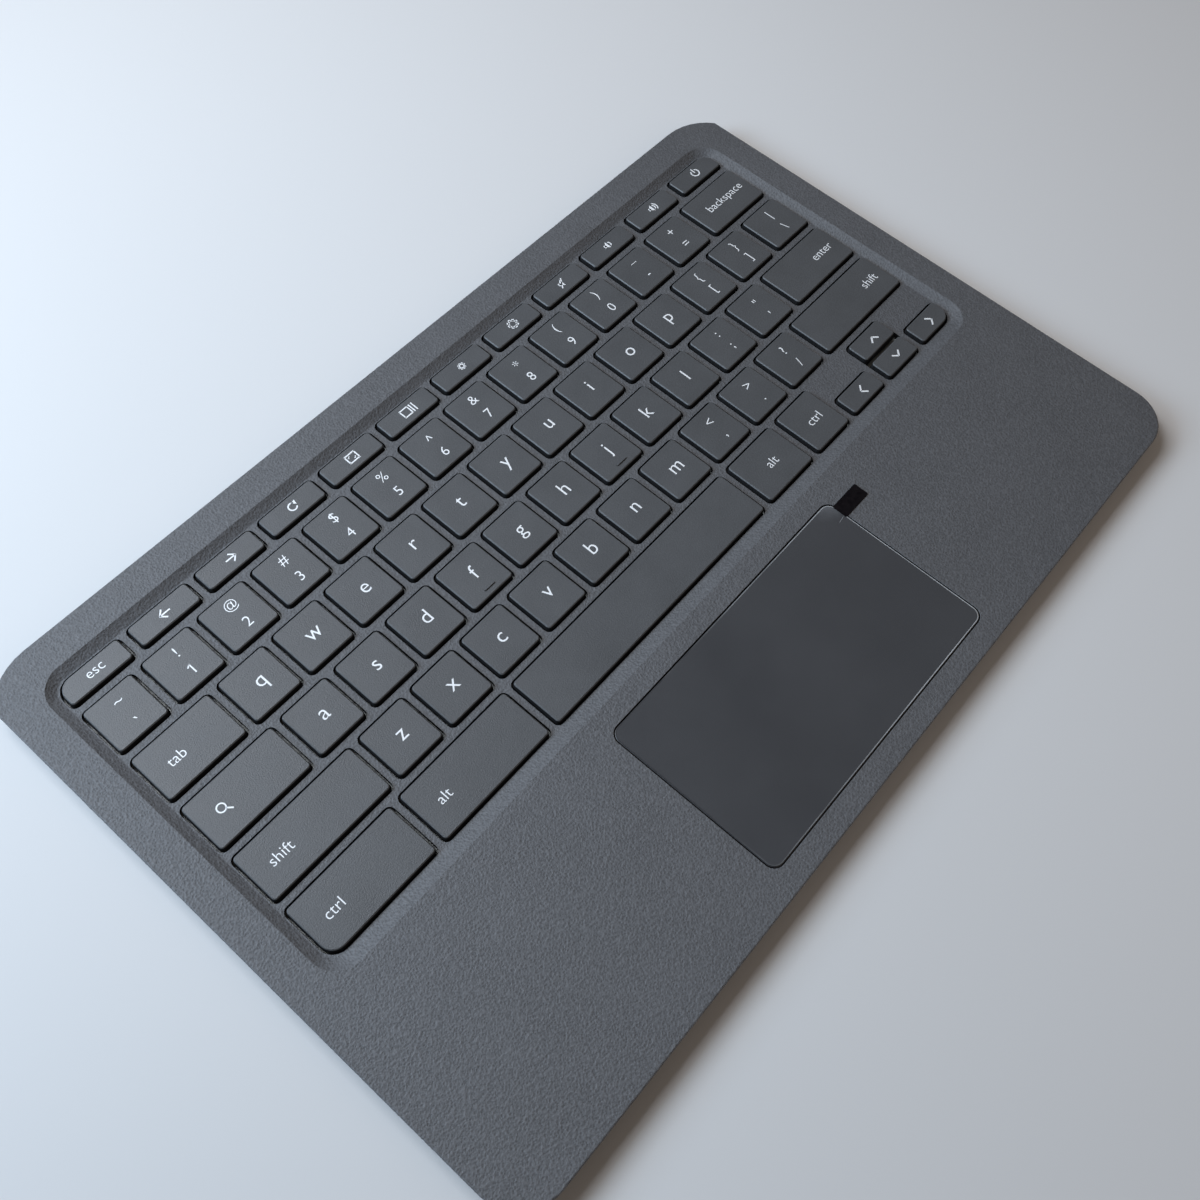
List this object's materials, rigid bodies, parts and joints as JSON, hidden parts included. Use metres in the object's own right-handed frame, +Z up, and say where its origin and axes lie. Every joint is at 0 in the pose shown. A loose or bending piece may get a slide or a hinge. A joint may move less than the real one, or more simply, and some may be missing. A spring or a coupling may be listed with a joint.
{
  "type": "palmrest keyboard assembly",
  "caption": "Upper case of a small laptop with a sunken low-travel keyboard and a clicking touchpad under a peel-off film; screw bosses below join it to the lower case.",
  "frame": {"origin": "under the middle of the case, on the plane of the screw bosses' ends", "axes": "+X to the typist's right, +Y to the back, +Z up out of the keys"},
  "size_m": [0.2972, 0.1896, 0.0072],
  "materials": {
    "case": "fine moulded grain, graphite grey",
    "keycap": "satin, dark grey",
    "base_plate": "rolled sheet",
    "membrane": "satin film",
    "dome_rubber": "matte",
    "link_plastic": "satin, black",
    "touchpad": "smooth satin, near black",
    "board": "satin green",
    "bracket": "plated sheet",
    "film": "clear, glossy",
    "tab": "satin black"
  },
  "bodies": {
    "case": {"top_case": "case", "keyboard_base_plate": "base_plate", "membrane_sheet": "membrane", "rubber_domes": "dome_rubber", "scissor_links": "link_plastic", "function_row_keycaps": "keycap", "number_row_keycaps": "keycap", "touchpad_bracket": "bracket"},
    "touchpad": {"touchpad_surface": "touchpad", "touchpad_board": "board", "touchpad_film": "film", "film_pull_tab": "tab"},
    "key_a_cap": {"key_a": "keycap"},
    "key_b_cap": {"key_b": "keycap"},
    "key_backslash_cap": {"key_backslash": "keycap"},
    "key_c_cap": {"key_c": "keycap"},
    "key_comma_cap": {"key_comma": "keycap"},
    "key_d_cap": {"key_d": "keycap"},
    "key_down_arrow_cap": {"key_down_arrow": "keycap"},
    "key_e_cap": {"key_e": "keycap"},
    "key_enter_cap": {"key_enter": "keycap"},
    "key_f_cap": {"key_f": "keycap"},
    "key_g_cap": {"key_g": "keycap"},
    "key_h_cap": {"key_h": "keycap"},
    "key_i_cap": {"key_i": "keycap"},
    "key_j_cap": {"key_j": "keycap"},
    "key_k_cap": {"key_k": "keycap"},
    "key_l_cap": {"key_l": "keycap"},
    "key_left_alt_cap": {"key_left_alt": "keycap"},
    "key_left_arrow_cap": {"key_left_arrow": "keycap"},
    "key_left_bracket_cap": {"key_left_bracket": "keycap"},
    "key_left_ctrl_cap": {"key_left_ctrl": "keycap"},
    "key_left_shift_cap": {"key_left_shift": "keycap"},
    "key_m_cap": {"key_m": "keycap"},
    "key_n_cap": {"key_n": "keycap"},
    "key_o_cap": {"key_o": "keycap"},
    "key_p_cap": {"key_p": "keycap"},
    "key_period_cap": {"key_period": "keycap"},
    "key_q_cap": {"key_q": "keycap"},
    "key_quote_cap": {"key_quote": "keycap"},
    "key_r_cap": {"key_r": "keycap"},
    "key_right_alt_cap": {"key_right_alt": "keycap"},
    "key_right_arrow_cap": {"key_right_arrow": "keycap"},
    "key_right_bracket_cap": {"key_right_bracket": "keycap"},
    "key_right_ctrl_cap": {"key_right_ctrl": "keycap"},
    "key_right_shift_cap": {"key_right_shift": "keycap"},
    "key_s_cap": {"key_s": "keycap"},
    "key_search_cap": {"key_search": "keycap"},
    "key_semicolon_cap": {"key_semicolon": "keycap"},
    "key_slash_cap": {"key_slash": "keycap"},
    "key_space_cap": {"key_space": "keycap"},
    "key_t_cap": {"key_t": "keycap"},
    "key_tab_cap": {"key_tab": "keycap"},
    "key_u_cap": {"key_u": "keycap"},
    "key_up_arrow_cap": {"key_up_arrow": "keycap"},
    "key_v_cap": {"key_v": "keycap"},
    "key_w_cap": {"key_w": "keycap"},
    "key_x_cap": {"key_x": "keycap"},
    "key_y_cap": {"key_y": "keycap"},
    "key_z_cap": {"key_z": "keycap"}
  },
  "joints": [
    {"name": "key_a_press", "type": "slide", "parent": "case", "child": "key_a_cap", "axis": [0, 0, -1], "range_m": [0, 0.0012], "stiffness_N_per_m": 200, "springref_m": -0.0015, "deforming": ["rubber_domes", "scissor_links"]},
    {"name": "key_b_press", "type": "slide", "parent": "case", "child": "key_b_cap", "axis": [0, 0, -1], "range_m": [0, 0.0012], "stiffness_N_per_m": 200, "springref_m": -0.0015, "deforming": ["rubber_domes", "scissor_links"]},
    {"name": "key_backslash_press", "type": "slide", "parent": "case", "child": "key_backslash_cap", "axis": [0, 0, -1], "range_m": [0, 0.0012], "stiffness_N_per_m": 200, "springref_m": -0.0015, "deforming": ["rubber_domes", "scissor_links"]},
    {"name": "key_c_press", "type": "slide", "parent": "case", "child": "key_c_cap", "axis": [0, 0, -1], "range_m": [0, 0.0012], "stiffness_N_per_m": 200, "springref_m": -0.0015, "deforming": ["rubber_domes", "scissor_links"]},
    {"name": "key_comma_press", "type": "slide", "parent": "case", "child": "key_comma_cap", "axis": [0, 0, -1], "range_m": [0, 0.0012], "stiffness_N_per_m": 200, "springref_m": -0.0015, "deforming": ["rubber_domes", "scissor_links"]},
    {"name": "key_d_press", "type": "slide", "parent": "case", "child": "key_d_cap", "axis": [0, 0, -1], "range_m": [0, 0.0012], "stiffness_N_per_m": 200, "springref_m": -0.0015, "deforming": ["rubber_domes", "scissor_links"]},
    {"name": "key_down_arrow_press", "type": "slide", "parent": "case", "child": "key_down_arrow_cap", "axis": [0, 0, -1], "range_m": [0, 0.0012], "stiffness_N_per_m": 200, "springref_m": -0.0015, "deforming": ["rubber_domes", "scissor_links"]},
    {"name": "key_e_press", "type": "slide", "parent": "case", "child": "key_e_cap", "axis": [0, 0, -1], "range_m": [0, 0.0012], "stiffness_N_per_m": 200, "springref_m": -0.0015, "deforming": ["rubber_domes", "scissor_links"]},
    {"name": "key_enter_press", "type": "slide", "parent": "case", "child": "key_enter_cap", "axis": [0, 0, -1], "range_m": [0, 0.0012], "stiffness_N_per_m": 200, "springref_m": -0.0015, "deforming": ["rubber_domes", "scissor_links"]},
    {"name": "key_f_press", "type": "slide", "parent": "case", "child": "key_f_cap", "axis": [0, 0, -1], "range_m": [0, 0.0012], "stiffness_N_per_m": 200, "springref_m": -0.0015, "deforming": ["rubber_domes", "scissor_links"]},
    {"name": "key_g_press", "type": "slide", "parent": "case", "child": "key_g_cap", "axis": [0, 0, -1], "range_m": [0, 0.0012], "stiffness_N_per_m": 200, "springref_m": -0.0015, "deforming": ["rubber_domes", "scissor_links"]},
    {"name": "key_h_press", "type": "slide", "parent": "case", "child": "key_h_cap", "axis": [0, 0, -1], "range_m": [0, 0.0012], "stiffness_N_per_m": 200, "springref_m": -0.0015, "deforming": ["rubber_domes", "scissor_links"]},
    {"name": "key_i_press", "type": "slide", "parent": "case", "child": "key_i_cap", "axis": [0, 0, -1], "range_m": [0, 0.0012], "stiffness_N_per_m": 200, "springref_m": -0.0015, "deforming": ["rubber_domes", "scissor_links"]},
    {"name": "key_j_press", "type": "slide", "parent": "case", "child": "key_j_cap", "axis": [0, 0, -1], "range_m": [0, 0.0012], "stiffness_N_per_m": 200, "springref_m": -0.0015, "deforming": ["rubber_domes", "scissor_links"]},
    {"name": "key_k_press", "type": "slide", "parent": "case", "child": "key_k_cap", "axis": [0, 0, -1], "range_m": [0, 0.0012], "stiffness_N_per_m": 200, "springref_m": -0.0015, "deforming": ["rubber_domes", "scissor_links"]},
    {"name": "key_l_press", "type": "slide", "parent": "case", "child": "key_l_cap", "axis": [0, 0, -1], "range_m": [0, 0.0012], "stiffness_N_per_m": 200, "springref_m": -0.0015, "deforming": ["rubber_domes", "scissor_links"]},
    {"name": "key_left_alt_press", "type": "slide", "parent": "case", "child": "key_left_alt_cap", "axis": [0, 0, -1], "range_m": [0, 0.0012], "stiffness_N_per_m": 200, "springref_m": -0.0015, "deforming": ["rubber_domes", "scissor_links"]},
    {"name": "key_left_arrow_press", "type": "slide", "parent": "case", "child": "key_left_arrow_cap", "axis": [0, 0, -1], "range_m": [0, 0.0012], "stiffness_N_per_m": 200, "springref_m": -0.0015, "deforming": ["rubber_domes", "scissor_links"]},
    {"name": "key_left_bracket_press", "type": "slide", "parent": "case", "child": "key_left_bracket_cap", "axis": [0, 0, -1], "range_m": [0, 0.0012], "stiffness_N_per_m": 200, "springref_m": -0.0015, "deforming": ["rubber_domes", "scissor_links"]},
    {"name": "key_left_ctrl_press", "type": "slide", "parent": "case", "child": "key_left_ctrl_cap", "axis": [0, 0, -1], "range_m": [0, 0.0012], "stiffness_N_per_m": 200, "springref_m": -0.0015, "deforming": ["rubber_domes", "scissor_links"]},
    {"name": "key_left_shift_press", "type": "slide", "parent": "case", "child": "key_left_shift_cap", "axis": [0, 0, -1], "range_m": [0, 0.0012], "stiffness_N_per_m": 200, "springref_m": -0.0015, "deforming": ["rubber_domes", "scissor_links"]},
    {"name": "key_m_press", "type": "slide", "parent": "case", "child": "key_m_cap", "axis": [0, 0, -1], "range_m": [0, 0.0012], "stiffness_N_per_m": 200, "springref_m": -0.0015, "deforming": ["rubber_domes", "scissor_links"]},
    {"name": "key_n_press", "type": "slide", "parent": "case", "child": "key_n_cap", "axis": [0, 0, -1], "range_m": [0, 0.0012], "stiffness_N_per_m": 200, "springref_m": -0.0015, "deforming": ["rubber_domes", "scissor_links"]},
    {"name": "key_o_press", "type": "slide", "parent": "case", "child": "key_o_cap", "axis": [0, 0, -1], "range_m": [0, 0.0012], "stiffness_N_per_m": 200, "springref_m": -0.0015, "deforming": ["rubber_domes", "scissor_links"]},
    {"name": "key_p_press", "type": "slide", "parent": "case", "child": "key_p_cap", "axis": [0, 0, -1], "range_m": [0, 0.0012], "stiffness_N_per_m": 200, "springref_m": -0.0015, "deforming": ["rubber_domes", "scissor_links"]},
    {"name": "key_period_press", "type": "slide", "parent": "case", "child": "key_period_cap", "axis": [0, 0, -1], "range_m": [0, 0.0012], "stiffness_N_per_m": 200, "springref_m": -0.0015, "deforming": ["rubber_domes", "scissor_links"]},
    {"name": "key_q_press", "type": "slide", "parent": "case", "child": "key_q_cap", "axis": [0, 0, -1], "range_m": [0, 0.0012], "stiffness_N_per_m": 200, "springref_m": -0.0015, "deforming": ["rubber_domes", "scissor_links"]},
    {"name": "key_quote_press", "type": "slide", "parent": "case", "child": "key_quote_cap", "axis": [0, 0, -1], "range_m": [0, 0.0012], "stiffness_N_per_m": 200, "springref_m": -0.0015, "deforming": ["rubber_domes", "scissor_links"]},
    {"name": "key_r_press", "type": "slide", "parent": "case", "child": "key_r_cap", "axis": [0, 0, -1], "range_m": [0, 0.0012], "stiffness_N_per_m": 200, "springref_m": -0.0015, "deforming": ["rubber_domes", "scissor_links"]},
    {"name": "key_right_alt_press", "type": "slide", "parent": "case", "child": "key_right_alt_cap", "axis": [0, 0, -1], "range_m": [0, 0.0012], "stiffness_N_per_m": 200, "springref_m": -0.0015, "deforming": ["rubber_domes", "scissor_links"]},
    {"name": "key_right_arrow_press", "type": "slide", "parent": "case", "child": "key_right_arrow_cap", "axis": [0, 0, -1], "range_m": [0, 0.0012], "stiffness_N_per_m": 200, "springref_m": -0.0015, "deforming": ["rubber_domes", "scissor_links"]},
    {"name": "key_right_bracket_press", "type": "slide", "parent": "case", "child": "key_right_bracket_cap", "axis": [0, 0, -1], "range_m": [0, 0.0012], "stiffness_N_per_m": 200, "springref_m": -0.0015, "deforming": ["rubber_domes", "scissor_links"]},
    {"name": "key_right_ctrl_press", "type": "slide", "parent": "case", "child": "key_right_ctrl_cap", "axis": [0, 0, -1], "range_m": [0, 0.0012], "stiffness_N_per_m": 200, "springref_m": -0.0015, "deforming": ["rubber_domes", "scissor_links"]},
    {"name": "key_right_shift_press", "type": "slide", "parent": "case", "child": "key_right_shift_cap", "axis": [0, 0, -1], "range_m": [0, 0.0012], "stiffness_N_per_m": 200, "springref_m": -0.0015, "deforming": ["rubber_domes", "scissor_links"]},
    {"name": "key_s_press", "type": "slide", "parent": "case", "child": "key_s_cap", "axis": [0, 0, -1], "range_m": [0, 0.0012], "stiffness_N_per_m": 200, "springref_m": -0.0015, "deforming": ["rubber_domes", "scissor_links"]},
    {"name": "key_search_press", "type": "slide", "parent": "case", "child": "key_search_cap", "axis": [0, 0, -1], "range_m": [0, 0.0012], "stiffness_N_per_m": 200, "springref_m": -0.0015, "deforming": ["rubber_domes", "scissor_links"]},
    {"name": "key_semicolon_press", "type": "slide", "parent": "case", "child": "key_semicolon_cap", "axis": [0, 0, -1], "range_m": [0, 0.0012], "stiffness_N_per_m": 200, "springref_m": -0.0015, "deforming": ["rubber_domes", "scissor_links"]},
    {"name": "key_slash_press", "type": "slide", "parent": "case", "child": "key_slash_cap", "axis": [0, 0, -1], "range_m": [0, 0.0012], "stiffness_N_per_m": 200, "springref_m": -0.0015, "deforming": ["rubber_domes", "scissor_links"]},
    {"name": "key_space_press", "type": "slide", "parent": "case", "child": "key_space_cap", "axis": [0, 0, -1], "range_m": [0, 0.0012], "stiffness_N_per_m": 200, "springref_m": -0.0015, "deforming": ["rubber_domes", "scissor_links"]},
    {"name": "key_t_press", "type": "slide", "parent": "case", "child": "key_t_cap", "axis": [0, 0, -1], "range_m": [0, 0.0012], "stiffness_N_per_m": 200, "springref_m": -0.0015, "deforming": ["rubber_domes", "scissor_links"]},
    {"name": "key_tab_press", "type": "slide", "parent": "case", "child": "key_tab_cap", "axis": [0, 0, -1], "range_m": [0, 0.0012], "stiffness_N_per_m": 200, "springref_m": -0.0015, "deforming": ["rubber_domes", "scissor_links"]},
    {"name": "key_u_press", "type": "slide", "parent": "case", "child": "key_u_cap", "axis": [0, 0, -1], "range_m": [0, 0.0012], "stiffness_N_per_m": 200, "springref_m": -0.0015, "deforming": ["rubber_domes", "scissor_links"]},
    {"name": "key_up_arrow_press", "type": "slide", "parent": "case", "child": "key_up_arrow_cap", "axis": [0, 0, -1], "range_m": [0, 0.0012], "stiffness_N_per_m": 200, "springref_m": -0.0015, "deforming": ["rubber_domes", "scissor_links"]},
    {"name": "key_v_press", "type": "slide", "parent": "case", "child": "key_v_cap", "axis": [0, 0, -1], "range_m": [0, 0.0012], "stiffness_N_per_m": 200, "springref_m": -0.0015, "deforming": ["rubber_domes", "scissor_links"]},
    {"name": "key_w_press", "type": "slide", "parent": "case", "child": "key_w_cap", "axis": [0, 0, -1], "range_m": [0, 0.0012], "stiffness_N_per_m": 200, "springref_m": -0.0015, "deforming": ["rubber_domes", "scissor_links"]},
    {"name": "key_x_press", "type": "slide", "parent": "case", "child": "key_x_cap", "axis": [0, 0, -1], "range_m": [0, 0.0012], "stiffness_N_per_m": 200, "springref_m": -0.0015, "deforming": ["rubber_domes", "scissor_links"]},
    {"name": "key_y_press", "type": "slide", "parent": "case", "child": "key_y_cap", "axis": [0, 0, -1], "range_m": [0, 0.0012], "stiffness_N_per_m": 200, "springref_m": -0.0015, "deforming": ["rubber_domes", "scissor_links"]},
    {"name": "key_z_press", "type": "slide", "parent": "case", "child": "key_z_cap", "axis": [0, 0, -1], "range_m": [0, 0.0012], "stiffness_N_per_m": 200, "springref_m": -0.0015, "deforming": ["rubber_domes", "scissor_links"]},
    {"name": "touchpad_click", "type": "hinge", "parent": "case", "child": "touchpad", "pos_m": [0, -0.03855, 0.00495], "axis": [1, 0, 0], "range_deg": [0, 0.4], "stiffness_Nm_per_rad": 5, "springref_deg": -0.29}
  ]
}
